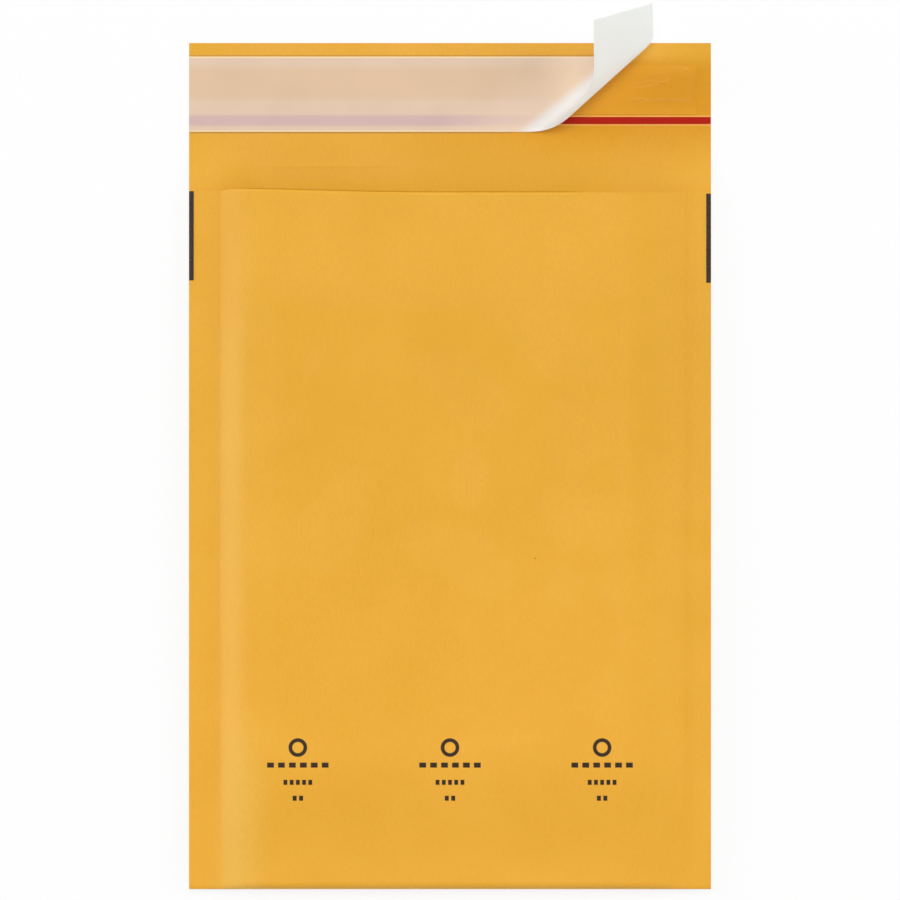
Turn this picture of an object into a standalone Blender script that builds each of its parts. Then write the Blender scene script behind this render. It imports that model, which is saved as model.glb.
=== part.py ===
"""A small padded envelope, empty and unsealed, lying on its back with the flap open.

+X is the envelope's right, +Y runs from the bottom fold to the flap, and +Z points up from the table.
The origin is the middle of the back panel's underside.
"""

import math

import bmesh
import bpy
from mathutils import Matrix, Vector

# All lengths are in millimetres, and MM turns them into metres.
MM = 0.001

# Envelope
ENVELOPE_WIDTH = 154.5
BODY_LENGTH = 206.8
FLAP_LENGTH = 43.7
PAPER_THICKNESS = 0.25

# Lining of bubble film: one layer at its full height, one layer in the bottom fold, both layers in a seam
LINING_THICKNESS = 2.6
LINING_IN_FOLD = 2.4
SEAL_THICKNESS = 0.5
LINING_CLEARANCE = 0.2
LINING_SETBACK = 1.5

# Pocket between the two layers of the lining
POCKET_GAP = 5.0
POCKET_GAP_AT_FOLD = 0.8
POCKET_GAP_AT_SIDES = 0.3
POCKET_SIDE_MARGIN = 1.5

# Flat side seams, and the shoulders where the padding swells up beside them
SEAM_LEFT = 9.2
SEAM_RIGHT = 7.4
SHOULDER_LEFT = 15.0
SHOULDER_RIGHT = 18.0

# Bottom fold
FOLD_DEPTH = 2.8
BOTTOM_TAPER = 40.0

# How high the side seams hang over the table, and the slight bow of the mouth's front lip
SEAM_LIFT = 3.7
SEAM_LIFT_AT_ENDS = 1.9
LIP_BOW = 0.9
LIP_BOW_REACH = 20.0

# What is stuck on the flap
STICKING_CLEARANCE = 0.05
LINER_WIDTH = 22.3
LINER_TO_FLAP_EDGE = 4.0
LINER_TO_SIDE_EDGE = 2.15
LINER_END_SKEW = 1.5
LINER_THICKNESS = 0.1
ADHESIVE_WIDTH = 14.5
ADHESIVE_THICKNESS = 0.12
ADHESIVE_INSET = 2.6
ADHESIVE_SIDE_MARGIN = 4.4
TAPE_WIDTH = 2.1
TAPE_THICKNESS = 0.12
TAPE_INSET = 2.3
FLAT_MARGIN = 1.3

# Peeled end of the liner. The lower edge lifts off first and the upper edge further on.
PEELED_LENGTH = 53.3
PEEL_LEAD = 27.7
ROLL_LOWER_EDGE = 38.1
ROLL_UPPER_EDGE = 15.6
ROLL_CONVERGENCE = 0.85
PEEL_BEND = math.radians(147)
BEND_CONTRAST = 14.0
BEND_SLACKEST = 0.59

# Printed sensing marks at the side edges
MARK_WIDTH = 1.4
MARK_LENGTH = 26.4
MARK_DROP_LEFT = 0.2
MARK_DROP_RIGHT = 0.9
INK_THICKNESS = 0.06
INK_CLEARANCE = 0.06

# Fineness of the meshes
SHOULDER_STEPS = 6
PLATEAU_STEPS = 5
BODY_STEPS = 7
TAPER_STEPS = 9
FOLD_STEPS = 7
SETTLE_STEPS = 5
ROLL_STEPS = 20
MARK_STEPS = 4
CREASE_ANGLE = math.radians(30)

# Derived sizes
HALF_WIDTH = ENVELOPE_WIDTH / 2
MOUTH_Y = BODY_LENGTH / 2
BOTTOM_Y = -BODY_LENGTH / 2
FOLD_Y = BOTTOM_Y + FOLD_DEPTH
FLAP_EDGE_Y = MOUTH_Y + FLAP_LENGTH
SKIN = PAPER_THICKNESS + LINING_CLEARANCE
FULL_THICKNESS = 2 * (SKIN + LINING_THICKNESS) + POCKET_GAP
FOLD_THICKNESS = 2 * (SKIN + LINING_IN_FOLD) + POCKET_GAP_AT_FOLD
SEAM_THICKNESS = 2 * SKIN + SEAL_THICKNESS
LINER_UPPER_Y = FLAP_EDGE_Y - LINER_TO_FLAP_EDGE
LINER_LOWER_Y = LINER_UPPER_Y - LINER_WIDTH
LINER_END_X = HALF_WIDTH - LINER_TO_SIDE_EDGE
SETTLED_Y = LINER_LOWER_Y - FLAT_MARGIN

# Colours of the finishes: base colour in sRGB, roughness
FINISHES = {
    "brown_paper": ("EBAE41", 0.75),
    "bubble_film": ("E6E8E6", 0.25),
    "hot_melt_glue": ("DC982C", 0.35),
    "release_paper": ("E9EAE5", 0.45),
    "red_tape": ("B22618", 0.4),
    "dark_ink": ("3A2A20", 0.6),
}


def clamp(value, low=0.0, high=1.0):
    """Keep a value between two limits."""
    return max(low, min(high, value))


def ease(value):
    """Run smoothly from 0 to 1 while the value does."""
    value = clamp(value)
    return value * value * (3 - 2 * value)


def steps(start, end, count):
    """Return count + 1 evenly spaced values from start to end."""
    return [start + (end - start) * index / count for index in range(count + 1)]


def swell(x, margin=0.0):
    """Return how far the padding has swelled at x: 0 in the side seams and 1 between the shoulders."""
    left = (x + HALF_WIDTH - SEAM_LEFT - margin) / (SHOULDER_LEFT - margin)
    right = (HALF_WIDTH - x - SEAM_RIGHT - margin) / (SHOULDER_RIGHT - margin)
    return 1 - (1 - clamp(min(left, right))) ** 2


def length_share(y):
    """Return 0 at the bottom fold and 1 where the padding has its full thickness."""
    return ease((y - FOLD_Y) / BOTTOM_TAPER)


def thickness(x, y):
    """Return the envelope's thickness, paper to paper."""
    middle = FOLD_THICKNESS + (FULL_THICKNESS - FOLD_THICKNESS) * length_share(y)
    return SEAM_THICKNESS + (middle - SEAM_THICKNESS) * swell(x)


def seam_lift(y):
    """Return how high the underside of a side seam hangs over the table."""
    if y > MOUTH_Y:
        return SEAM_LIFT_AT_ENDS * (1 - ease((y - MOUTH_Y) / (SETTLED_Y - MOUTH_Y)))
    from_middle = clamp(abs(y) / MOUTH_Y)
    return SEAM_LIFT - (SEAM_LIFT - SEAM_LIFT_AT_ENDS) * from_middle ** 2


def underside(x, y):
    """Return the height of the back panel's or the flap's underside."""
    return seam_lift(y) * (1 - swell(x))


def wrap_point(x, y, side, inset=0.0):
    """Return a point on the outside of the envelope, or inset from it.

    side runs from -1 on the back panel, round the bottom fold, to 1 on the front panel.
    """
    level = max(y, FOLD_Y)
    half = thickness(x, level) / 2
    return Vector((x, y, underside(x, level) + half + side * (half - inset)))


def fold_stations(top, end, depth):
    """Return (y, side) stations down the back panel, round the bottom fold and up the front panel.

    top is the y of both ends, end the y of the fold's centre and depth how far the fold reaches below it.
    """
    taper_top = FOLD_Y + BOTTOM_TAPER
    down = steps(top, taper_top, BODY_STEPS) + steps(taper_top, end, TAPER_STEPS)[1:]
    turn = [math.pi * index / FOLD_STEPS for index in range(1, FOLD_STEPS)]
    back = [(y, -1.0) for y in down]
    fold = [(end - depth * math.sin(angle), -math.cos(angle)) for angle in turn]
    front = [(y, 1.0) for y in reversed(down)]
    return back + fold + front


def columns():
    """Return the x of the columns of points across the envelope, closer together on the shoulders."""
    left_top = -HALF_WIDTH + SEAM_LEFT + SHOULDER_LEFT
    right_top = HALF_WIDTH - SEAM_RIGHT - SHOULDER_RIGHT
    left = steps(-HALF_WIDTH + SEAM_LEFT, left_top, SHOULDER_STEPS)
    right = steps(right_top, HALF_WIDTH - SEAM_RIGHT, SHOULDER_STEPS)
    plateau = steps(left_top, right_top, PLATEAU_STEPS)[1:-1]
    return [-HALF_WIDTH] + left + plateau + right + [HALF_WIDTH]


def finish(name):
    """Return the material of that name, made on first use."""
    material = bpy.data.materials.get(name)
    if material is None:
        colour, roughness = FINISHES[name]
        channels = [int(colour[index:index + 2], 16) / 255 for index in (0, 2, 4)]
        linear = [c / 12.92 if c <= 0.04045 else ((c + 0.055) / 1.055) ** 2.4 for c in channels]
        material = bpy.data.materials.new(name)
        material.use_nodes = True
        shader = material.node_tree.nodes["Principled BSDF"]
        shader.inputs["Base Color"].default_value = (*linear, 1.0)
        shader.inputs["Roughness"].default_value = roughness
    return material


def add_object(name, mesh, collection, finish_name=None, smooth=True):
    """Make an object of a bmesh, in metres, and free the bmesh."""
    bmesh.ops.scale(mesh, vec=(MM, MM, MM), verts=mesh.verts)
    bmesh.ops.recalc_face_normals(mesh, faces=mesh.faces)
    data = bpy.data.meshes.new(name)
    mesh.to_mesh(data)
    mesh.free()
    if smooth:
        data.shade_smooth()
        data.set_sharp_from_angle(angle=CREASE_ANGLE)
    if finish_name:
        data.materials.append(finish(finish_name))
    item = bpy.data.objects.new(name, data)
    collection.objects.link(item)
    return item


def grid_surface(rows):
    """Return an open surface: a flat grid whose points are moved to the given rows of points."""
    mesh = bmesh.new()
    across = len(rows[0])
    bmesh.ops.create_grid(mesh, x_segments=across - 1, y_segments=len(rows) - 1, size=1.0)
    mesh.verts.ensure_lookup_table()
    order = sorted(mesh.verts, key=lambda vert: (round(vert.co.y, 5), round(vert.co.x, 5)))
    for index, vert in enumerate(order):
        vert.co = rows[index // across][index % across]
    return mesh


def add_sheet(name, rows, sheet_thickness, collection, finish_name, outward):
    """Make a sheet: an open surface through rows of points, given its thickness on one side.

    outward is a point on the side that the surface faces. The thickness goes to the other side.
    """
    item = add_object(name, grid_surface(rows), collection, finish_name)
    first = item.data.polygons[0]
    if (outward * MM - first.center).dot(first.normal) < 0:
        item.data.flip_normals()
    shell = item.modifiers.new("thickness", "SOLIDIFY")
    shell.thickness = sheet_thickness * MM
    shell.offset = -1.0
    shell.use_even_offset = True
    shell.use_quality_normals = True
    return item


def add_loft(name, sections, collection, finish_name=None):
    """Make a closed solid through closed sections that have the same number of points."""
    mesh = bmesh.new()
    rings = [[mesh.verts.new(point) for point in section] for section in sections]
    for ring, following in zip(rings, rings[1:]):
        for index in range(len(ring)):
            after = (index + 1) % len(ring)
            mesh.faces.new((ring[index], ring[after], following[after], following[index]))
    mesh.faces.new(rings[0])
    mesh.faces.new(rings[-1])
    return add_object(name, mesh, collection, finish_name)


def add_slab(name, x_range, y_range, z_range, collection, finish_name):
    """Make a flat rectangular film between two limits on each axis."""
    mesh = bmesh.new()
    bmesh.ops.create_cube(mesh, size=1.0)
    size = Vector([high - low for low, high in (x_range, y_range, z_range)])
    middle = Vector([(high + low) / 2 for low, high in (x_range, y_range, z_range)])
    bmesh.ops.scale(mesh, vec=size, verts=mesh.verts)
    bmesh.ops.translate(mesh, vec=middle, verts=mesh.verts)
    return add_object(name, mesh, collection, finish_name, smooth=False)


def lip_bow(x, y, side):
    """Return how far the front lip draws back at x, because it stands up from the flap."""
    if side < 1:
        return 0.0
    return LIP_BOW * swell(x) * (1 - (x / HALF_WIDTH) ** 2) * ease(1 - (MOUTH_Y - y) / LIP_BOW_REACH)


def add_outer_wrap(collection):
    """Make the paper: flap, back panel, bottom fold and front panel in one folded sheet."""
    flap = [(FLAP_EDGE_Y, -1.0), (LINER_LOWER_Y, -1.0)]
    flap += [(y, -1.0) for y in steps(SETTLED_Y, MOUTH_Y, SETTLE_STEPS)[:-1]]
    rows = []
    for y, side in flap + fold_stations(MOUTH_Y, FOLD_Y, FOLD_DEPTH):
        row = [wrap_point(x, y, side) for x in columns()]
        rows.append([point - Vector((0, lip_bow(point.x, y, side), 0)) for point in row])
    table_side = Vector((0, FLAP_EDGE_Y, -FULL_THICKNESS))
    add_sheet("outer_wrap", rows, PAPER_THICKNESS, collection, "brown_paper", table_side)


def pocket_point(x, y, side):
    """Return a point on the wall of the pocket inside the lining."""
    level = max(y, FOLD_Y)
    middle = POCKET_GAP_AT_FOLD + (POCKET_GAP - POCKET_GAP_AT_FOLD) * length_share(level)
    gap = POCKET_GAP_AT_SIDES + (middle - POCKET_GAP_AT_SIDES) * swell(x, POCKET_SIDE_MARGIN)
    return Vector((x, y, underside(x, level) + thickness(x, level) / 2 + side * gap / 2))


def add_bubble_lining(collection, cutters):
    """Make the lining: a padded pouch, sealed flat along both sides and open at the mouth."""
    lining_top = MOUTH_Y - LINING_SETBACK
    outside = fold_stations(lining_top, FOLD_Y, FOLD_DEPTH - SKIN)
    sections = [[wrap_point(x, y, side, SKIN) for y, side in outside] for x in columns()]
    lining = add_loft("bubble_lining", sections, collection, "bubble_film")

    pocket_left = -HALF_WIDTH + SEAM_LEFT + POCKET_SIDE_MARGIN
    pocket_right = HALF_WIDTH - SEAM_RIGHT - POCKET_SIDE_MARGIN
    inner = [x for x in columns() if pocket_left < x < pocket_right]
    pocket_end = BOTTOM_Y + SKIN + LINING_IN_FOLD
    turn = POCKET_GAP_AT_FOLD / 2
    inside = fold_stations(MOUTH_Y + LINING_SETBACK, pocket_end + turn, turn)
    places = [pocket_left] + inner + [pocket_right]
    walls = [[pocket_point(x, y, side) for y, side in inside] for x in places]
    pocket = add_loft("pocket_cutter", walls, cutters)
    pocket.hide_render = True
    pocket.display_type = "WIRE"
    cut = lining.modifiers.new("pocket", "BOOLEAN")
    cut.operation = "DIFFERENCE"
    cut.object = pocket


def add_flap_strips(collection):
    """Make the band of glue and the tear tape on the inner face of the flap."""
    base = PAPER_THICKNESS + STICKING_CLEARANCE
    glue_top = LINER_UPPER_Y - ADHESIVE_INSET
    glue_reach = HALF_WIDTH - ADHESIVE_SIDE_MARGIN
    add_slab("adhesive_strip", (-glue_reach, glue_reach), (glue_top - ADHESIVE_WIDTH, glue_top),
             (base, base + ADHESIVE_THICKNESS), collection, "hot_melt_glue")
    tape_bottom = LINER_LOWER_Y + TAPE_INSET
    add_slab("tear_tape", (-HALF_WIDTH, HALF_WIDTH), (tape_bottom, tape_bottom + TAPE_WIDTH),
             (base, base + TAPE_THICKNESS), collection, "red_tape")


def bend_weights(count):
    """Return the share of the peel's bend at each step, with the least of it near the top of the roll."""
    middles = [(index + 0.5) / count for index in range(count)]
    weights = [1 + BEND_CONTRAST * (middle - BEND_SLACKEST) ** 2 for middle in middles]
    return [weight / sum(weights) for weight in weights]


def turn_about(start, end, angle):
    """Return a rotation by an angle about the line from start to end."""
    move = Matrix.Translation(start)
    return move @ Matrix.Rotation(angle, 4, end - start) @ move.inverted()


def peeled_rows(level):
    """Return the liner's rows of two points, from its flat left end to its free end.

    The peeled stretch is the flat strip folded a little at each of a row of straight lines, so it keeps
    its lengths as a real strip does.
    """
    peel_x = LINER_END_X - PEELED_LENGTH
    rows = [[Vector((-HALF_WIDTH, LINER_LOWER_Y, level)), Vector((-HALF_WIDTH, LINER_UPPER_Y, level))]]
    shares = [0.0] + bend_weights(ROLL_STEPS)
    place = Matrix.Identity(4)
    for index, share in enumerate(shares):
        t = index / ROLL_STEPS
        upper_t = t + ROLL_CONVERGENCE * t * (1 - t)
        lower = Vector((peel_x + ROLL_LOWER_EDGE * t, LINER_LOWER_Y, level))
        upper = Vector((peel_x + PEEL_LEAD + ROLL_UPPER_EDGE * upper_t, LINER_UPPER_Y, level))
        if index:
            place = place @ turn_about(*fold_line, -share * PEEL_BEND)
        rows.append([place @ lower, place @ upper])
        fold_line = (lower, upper)
    end_lower = Vector((LINER_END_X - LINER_END_SKEW, LINER_LOWER_Y, level))
    end_upper = Vector((LINER_END_X, LINER_UPPER_Y, level))
    rows.append([place @ end_lower, place @ end_upper])
    return rows


def add_release_liner(collection):
    """Make the release liner, stuck down on the left and peeled back in a roll on the right."""
    strip_top = max(ADHESIVE_THICKNESS, TAPE_THICKNESS)
    level = PAPER_THICKNESS + 2 * STICKING_CLEARANCE + strip_top + LINER_THICKNESS
    above = Vector((0, LINER_LOWER_Y, level + FULL_THICKNESS))
    add_sheet("release_liner", peeled_rows(level), LINER_THICKNESS, collection, "release_paper", above)


def add_eye_mark(name, edge_side, drop, collection):
    """Make one printed sensing mark, a thin film of ink on the seam at the left (-1) or right (1) edge."""
    outer = edge_side * HALF_WIDTH
    inner = outer - edge_side * MARK_WIDTH
    lift = Vector((0, 0, INK_CLEARANCE + INK_THICKNESS))
    top = MOUTH_Y - drop
    rows = [[wrap_point(x, y, 1.0) + lift for x in sorted((inner, outer))]
            for y in steps(top, top - MARK_LENGTH, MARK_STEPS)]
    above = Vector((0, top, 2 * FULL_THICKNESS))
    add_sheet(name, rows, INK_THICKNESS, collection, "dark_ink", above)


def new_collection(name):
    """Make a collection in the scene."""
    collection = bpy.data.collections.new(name)
    bpy.context.scene.collection.children.link(collection)
    return collection


def main():
    """Clear the scene and build the envelope."""
    for item in list(bpy.data.objects):
        bpy.data.objects.remove(item, do_unlink=True)
    envelope = new_collection("padded_envelope")
    cutters = new_collection("cutters")
    add_outer_wrap(envelope)
    add_bubble_lining(envelope, cutters)
    add_flap_strips(envelope)
    add_release_liner(envelope)
    add_eye_mark("eye_mark_left", -1, MARK_DROP_LEFT, envelope)
    add_eye_mark("eye_mark_right", 1, MARK_DROP_RIGHT, envelope)


main()
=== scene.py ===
"""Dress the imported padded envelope: paper, bubble film, glue, release liner, tear tape, ink and a studio.

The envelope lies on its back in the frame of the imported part, in metres: +X to its right, +Y from the bottom
fold to the flap, and +Z up from the table. Lengths in the classes below are in millimetres.
"""

import logging
import math
from collections.abc import Iterable, Sequence
from dataclasses import dataclass
from enum import Enum
from functools import cached_property, reduce

import bmesh
import bpy
from mathutils import Matrix, Vector, noise


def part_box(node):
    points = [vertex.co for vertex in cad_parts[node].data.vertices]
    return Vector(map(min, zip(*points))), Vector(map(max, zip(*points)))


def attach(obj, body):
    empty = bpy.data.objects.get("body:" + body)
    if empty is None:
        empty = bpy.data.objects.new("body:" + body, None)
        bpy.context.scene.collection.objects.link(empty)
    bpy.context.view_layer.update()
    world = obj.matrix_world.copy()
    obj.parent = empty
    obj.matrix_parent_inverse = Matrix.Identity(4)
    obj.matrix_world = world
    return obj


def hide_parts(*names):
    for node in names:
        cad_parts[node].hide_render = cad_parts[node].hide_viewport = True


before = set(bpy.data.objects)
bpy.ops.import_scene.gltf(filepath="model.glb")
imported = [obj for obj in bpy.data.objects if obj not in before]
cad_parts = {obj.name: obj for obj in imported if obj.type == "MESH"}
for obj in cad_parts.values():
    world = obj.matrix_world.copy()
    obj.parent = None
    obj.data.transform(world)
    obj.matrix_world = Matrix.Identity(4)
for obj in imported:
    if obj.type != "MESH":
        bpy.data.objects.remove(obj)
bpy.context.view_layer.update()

MM = 0.001
SOFTLY = {"interpolation_type": "SMOOTHSTEP"}  # lets a MapRange node start and end gently
NOISE_LOW, NOISE_HIGH = 0.3, 0.7  # nearly all values of a noise texture lie between these
LOG = logging.getLogger("padded_envelope")

Rows = Sequence[Sequence[Vector]]
Station = tuple[float, float]
Colour = tuple[float, float, float, float]
Source = bpy.types.Node | bpy.types.NodeSocket


class Panel(Enum):
    """The two sides of the padding, as the ends of a scale that runs round the bottom fold."""

    BACK = -1.0
    FRONT = 1.0


class Edge(Enum):
    """The envelope's two side edges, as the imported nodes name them."""

    LEFT = "left"
    RIGHT = "right"


def clamp(value: float, low: float = 0.0, high: float = 1.0) -> float:
    """Keep a value between two limits."""
    return max(low, min(high, value))


def ease(value: float) -> float:
    """Run smoothly from 0 to 1 while the value does."""
    value = clamp(value)
    return value * value * (3 - 2 * value)


def steps(start: float, end: float, count: int) -> list[float]:
    """Return count + 1 evenly spaced values from start to end."""
    return [start + (end - start) * index / count for index in range(count + 1)]


def linear(code: str) -> Colour:
    """Turn an sRGB hex colour into linear values with full alpha."""
    channels = [int(code[index:index + 2], 16) / 255 for index in (0, 2, 4)]
    red, green, blue = [c / 12.92 if c <= 0.04045 else ((c + 0.055) / 1.055) ** 2.4 for c in channels]
    return (red, green, blue, 1.0)


class Shading:
    """The nodes of one material, or of the world, while it is being made."""

    def __init__(self, owner: bpy.types.Material | bpy.types.World, output: str = "OutputMaterial") -> None:
        """Empty the owner's node tree and give it an output.

        Args:
            owner: The new material or world.
            output: The kind of its output node.
        """
        owner.use_nodes = True
        self.owner, self.tree = owner, owner.node_tree
        self.tree.nodes.clear()
        self.output = self.add(output)

    def add(self, kind: str, inputs: dict | None = None, **settings) -> bpy.types.Node:
        """Add one node with its settings and its links.

        Args:
            kind: The node's type, without the word ShaderNode in front.
            inputs: Values, sRGB hex colours, nodes or sockets, by the name or the number of their input.
            settings: The node's own properties.

        Returns:
            The new node.
        """
        node = self.tree.nodes.new("ShaderNode" + kind)
        for name, value in settings.items():
            setattr(node, name, value)
        for key, value in (inputs or {}).items():
            named = [socket for socket in node.inputs if socket.enabled and socket.name == key]
            target = named[0] if named else node.inputs[key]
            if isinstance(value, bpy.types.Node):
                value = next(socket for socket in value.outputs if socket.enabled)
            if isinstance(value, bpy.types.NodeSocket):
                self.tree.links.new(value, target)
            else:
                target.default_value = linear(value) if isinstance(value, str) else value
        return node

    @cached_property
    def place(self) -> bpy.types.Node:
        """A point's place on the envelope, in millimetres."""
        place = self.add("TexCoord").outputs["Object"]
        return self.add("VectorMath", {0: place, "Scale": 1 / MM}, operation="SCALE")

    @cached_property
    def axes(self) -> tuple[bpy.types.NodeSocket, ...]:
        """The place's three parts, along X, Y and Z."""
        return tuple(self.add("SeparateXYZ", {0: self.place}).outputs)

    def band(self, value: Source, low: float, high: float, soft: float) -> bpy.types.Node:
        """Add nodes that give 1 where a value lies between two limits and fall softly to 0 outside them.

        Args:
            value: What gives the value.
            low: The lower limit.
            high: The upper limit.
            soft: Over how much of the value the edge fades.

        Returns:
            The node that gives the share, from 0 to 1.
        """
        away = self.add("Math", {0: value, 1: (low + high) / 2}, operation="SUBTRACT")
        distance = self.add("Math", {0: away}, operation="ABSOLUTE")
        half = (high - low) / 2
        return self.add("MapRange", {"Value": distance, "From Min": half + soft / 2,
                                     "From Max": half - soft / 2}, **SOFTLY)

    def product(self, *shares: Source) -> Source:
        """Multiply two or more shares."""
        return reduce(lambda one, other: self.add("Math", {0: one, 1: other}, operation="MULTIPLY"), shares)

    def layered(self, colour: Source | str, *layers: tuple[Source, Source | str]) -> Source:
        """Lay colours over another, one after the other.

        Args:
            colour: The colour below.
            layers: The share and the colour of each layer, from the lowest up.

        Returns:
            What gives the colour on top.
        """
        for share, over in layers:
            colour = self.add("Mix", {"Factor": share, "A": colour, "B": over}, data_type="RGBA")
        return colour

    def close(self, shader: bpy.types.Node) -> bpy.types.Material | bpy.types.World:
        """Show a shader and return the finished material or world."""
        self.tree.links.new(shader.outputs[0], self.output.inputs["Surface"])
        return self.owner


@dataclass(frozen=True)
class HighlightStripe:
    """A painted highlight: a paler stripe down the left shoulder, faint at its top and at full strength below.
    """

    x: float
    width: float
    fade: float
    top: float
    full: float
    strength: float

    def share(self, shade: Shading) -> Source:
        """Return how strong the painted highlight is at a place.

        Args:
            shade: The paper's nodes.

        Returns:
            What gives the share, from 0 to the stripe's strength.
        """
        x, y, _ = shade.axes
        stripe = shade.band(x, self.x - self.width / 2, self.x + self.width / 2, self.fade)
        level = shade.add("MapRange", {"Value": y, "From Min": self.top, "From Max": self.full,
                                       "To Max": self.strength}, **SOFTLY)
        return shade.product(stripe, level)


@dataclass(frozen=True)
class WrappingPaper:
    """Golden brown wrapping paper, rolled smooth on one side by the machine that made it.

    It looks matte with a faint satin gloss, slightly cloudy, with fibres that run along the roll.
    """

    name: str = "golden_wrapping_paper"
    cloud_light: str = "EEB036"
    cloud_dark: str = "EAAC2F"
    cloud_size: float = 21.0
    # brighter towards the bottom fold: partly the paper's own tone, partly painted light that offsets the
    # shade on the tapering bottom
    bottom_tone_and_light_tint: tuple[float, float, float] = (1.085, 1.055, 1.09)
    bottom_light_from: float = 65.0
    bottom_light_to: float = -80.0
    inner_tint: tuple[float, float, float] = (1.03, 1.01, 1.42)
    inner_ramp: float = 25.0
    inner_reach: float = 66.0
    inner_fade: float = 16.0
    # painted highlight: the sheen of light on the left shoulder's slope, laid into the colour
    painted_highlight_colour: str = "F5C65A"
    painted_highlights: tuple[HighlightStripe, ...] = (HighlightStripe(-65.0, 5.6, 6.0, 95.0, 45.0, 0.38),
                                      HighlightStripe(-61.4, 9.5, 8.0, -45.0, -74.0, 0.4))
    stain_colour: str = "E79F1A"
    stain_above: float = 4.5
    stain_inside: float = 2.5
    stain_below: float = 21.0
    stain_start_x: float = -30.0
    stain_full_x: float = 45.0
    tape_line_colour: str = "FFBA5C"
    tape_line: float = 0.45
    # painted shadow: thin dark lines on the paper along the liner's edges
    liner_shadow_colour: str = "D59C42"
    liner_shadow_width: float = 0.5
    liner_shadow_fade: float = 8.0
    # painted shadow: a fine dark line along the flap's fold behind the mouth's lip, for the shade under the
    # lip; fold_line is its width
    lip_shadow_colour: str = "D69818"
    fold_line: float = 0.42
    lip_shadow_ends: tuple[float, float] = (-61.0, 37.0)
    lip_shadow_fade: float = 12.0
    fibre_width: float = 0.45  # drawn about ten times as coarse as real fibres, which wouldn't show
    fibre_length: float = 1.5
    fibre_contrast: float = 0.028
    fibre_depth: float = 0.008
    speck_colour: str = "8A5A22"
    speck_spacing: float = 24.0
    speck_radius: float = 0.3
    speck_strength: float = 0.75
    ink_colour: str = "3A2A20"
    print_pitch: float = 45.0
    print_reach: float = 67.0
    ring_y: float = -61.4
    ring_radius: float = 2.2
    ring_line: float = 1.1
    dash_rows: tuple[tuple[float, float, int], ...] = ((-66.6, 19.4, 6), (-71.7, 9.2, 5), (-76.4, 3.8, 2))
    dash_height: float = 1.5
    dash_share: float = 0.62
    ink_soft: float = 0.16
    front_from_z: float = 6.0
    ior: float = 1.48
    roughness: float = 0.56
    roughness_spread: float = 0.08

    def printed(self, shade: Shading) -> Source:
        """Draw the print on the front: three times a plain ring above three rows of dashes.

        Args:
            shade: The paper's nodes.

        Returns:
            What gives 1 in the ink and 0 elsewhere.
        """
        x, y, z = shade.axes
        moved = shade.add("Math", {0: x, 1: self.print_pitch / 2}, operation="ADD")
        wrapped = shade.add("Math", {0: moved, 1: 0.0, 2: self.print_pitch}, operation="WRAP")
        across = shade.add("Math", {0: wrapped, 1: self.print_pitch / 2}, operation="SUBTRACT")
        along = shade.add("Math", {0: y, 1: self.ring_y}, operation="SUBTRACT")
        flat = shade.add("CombineXYZ", {"X": across, "Y": along})
        radius = shade.add("VectorMath", {0: flat}, operation="LENGTH").outputs["Value"]
        half = self.ring_line / 2
        ink = shade.band(radius, self.ring_radius - half, self.ring_radius + half, self.ink_soft)
        for middle, width, count in self.dash_rows:
            half, pitch = self.dash_height / 2, width / count
            row = shade.band(y, middle - half, middle + half, self.ink_soft)
            reach = shade.band(across, -width / 2, width / 2, self.ink_soft)
            shifted = shade.add("Math", {0: across, 1: width / 2}, operation="ADD")
            cell = shade.add("Math", {0: shifted, 1: 0.0, 2: pitch}, operation="WRAP")
            margin = pitch * (1 - self.dash_share) / 2
            dash = shade.band(cell, margin, pitch - margin, self.ink_soft)
            ink = shade.add("Math", {0: ink, 1: shade.product(row, reach, dash)}, operation="MAXIMUM")
        within = shade.band(x, -self.print_reach, self.print_reach, self.ink_soft)
        on_front = shade.add("Math", {0: z, 1: self.front_from_z}, operation="GREATER_THAN")
        return shade.product(ink, within, on_front)

    def inner_face(self, shade: Shading, flap: "FlapLayout") -> Source:
        """Return how far a place belongs to the flap's paler inner face.

        Args:
            shade: The paper's nodes.
            flap: Where the flap and its strips lie.

        Returns:
            What gives the share, from 0 at the mouth to 1.
        """
        x, y, _ = shade.axes
        mouth_y = flap.form.mouth_y
        on_flap = shade.add("MapRange", {"Value": y, "From Min": mouth_y,
                                         "From Max": mouth_y + self.inner_ramp})
        return shade.product(on_flap, shade.band(x, -self.inner_reach, self.inner_reach, self.inner_fade))

    def stained(self, shade: Shading, flap: "FlapLayout") -> Source:
        """Return how far the glue has stained the flap at a place.

        Args:
            shade: The paper's nodes.
            flap: Where the flap and its strips lie.

        Returns:
            What gives the share, from 0 to 1.
        """
        x, y, _ = shade.axes
        limits = ((y, flap.glue.low_y - self.stain_below, flap.glue.low_y),
                  (y, flap.glue.high_y + self.stain_above, flap.glue.high_y - self.stain_inside),
                  (x, self.stain_start_x, self.stain_full_x))
        shares = [shade.add("MapRange", {"Value": value, "From Min": start, "From Max": full}, **SOFTLY)
                  for value, start, full in limits]
        return shade.product(*shares)

    def tape_lines(self, shade: Shading, flap: "FlapLayout") -> Source:
        """Return where the pale lines beside the pressed tape are.

        Args:
            shade: The paper's nodes.
            flap: Where the flap and its strips lie.

        Returns:
            What gives 1 in the lines, and under the tape.
        """
        low, high = flap.tape.low_y - self.tape_line, flap.tape.high_y + self.tape_line
        return shade.band(shade.axes[1], low, high, self.tape_line / 2)

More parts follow.
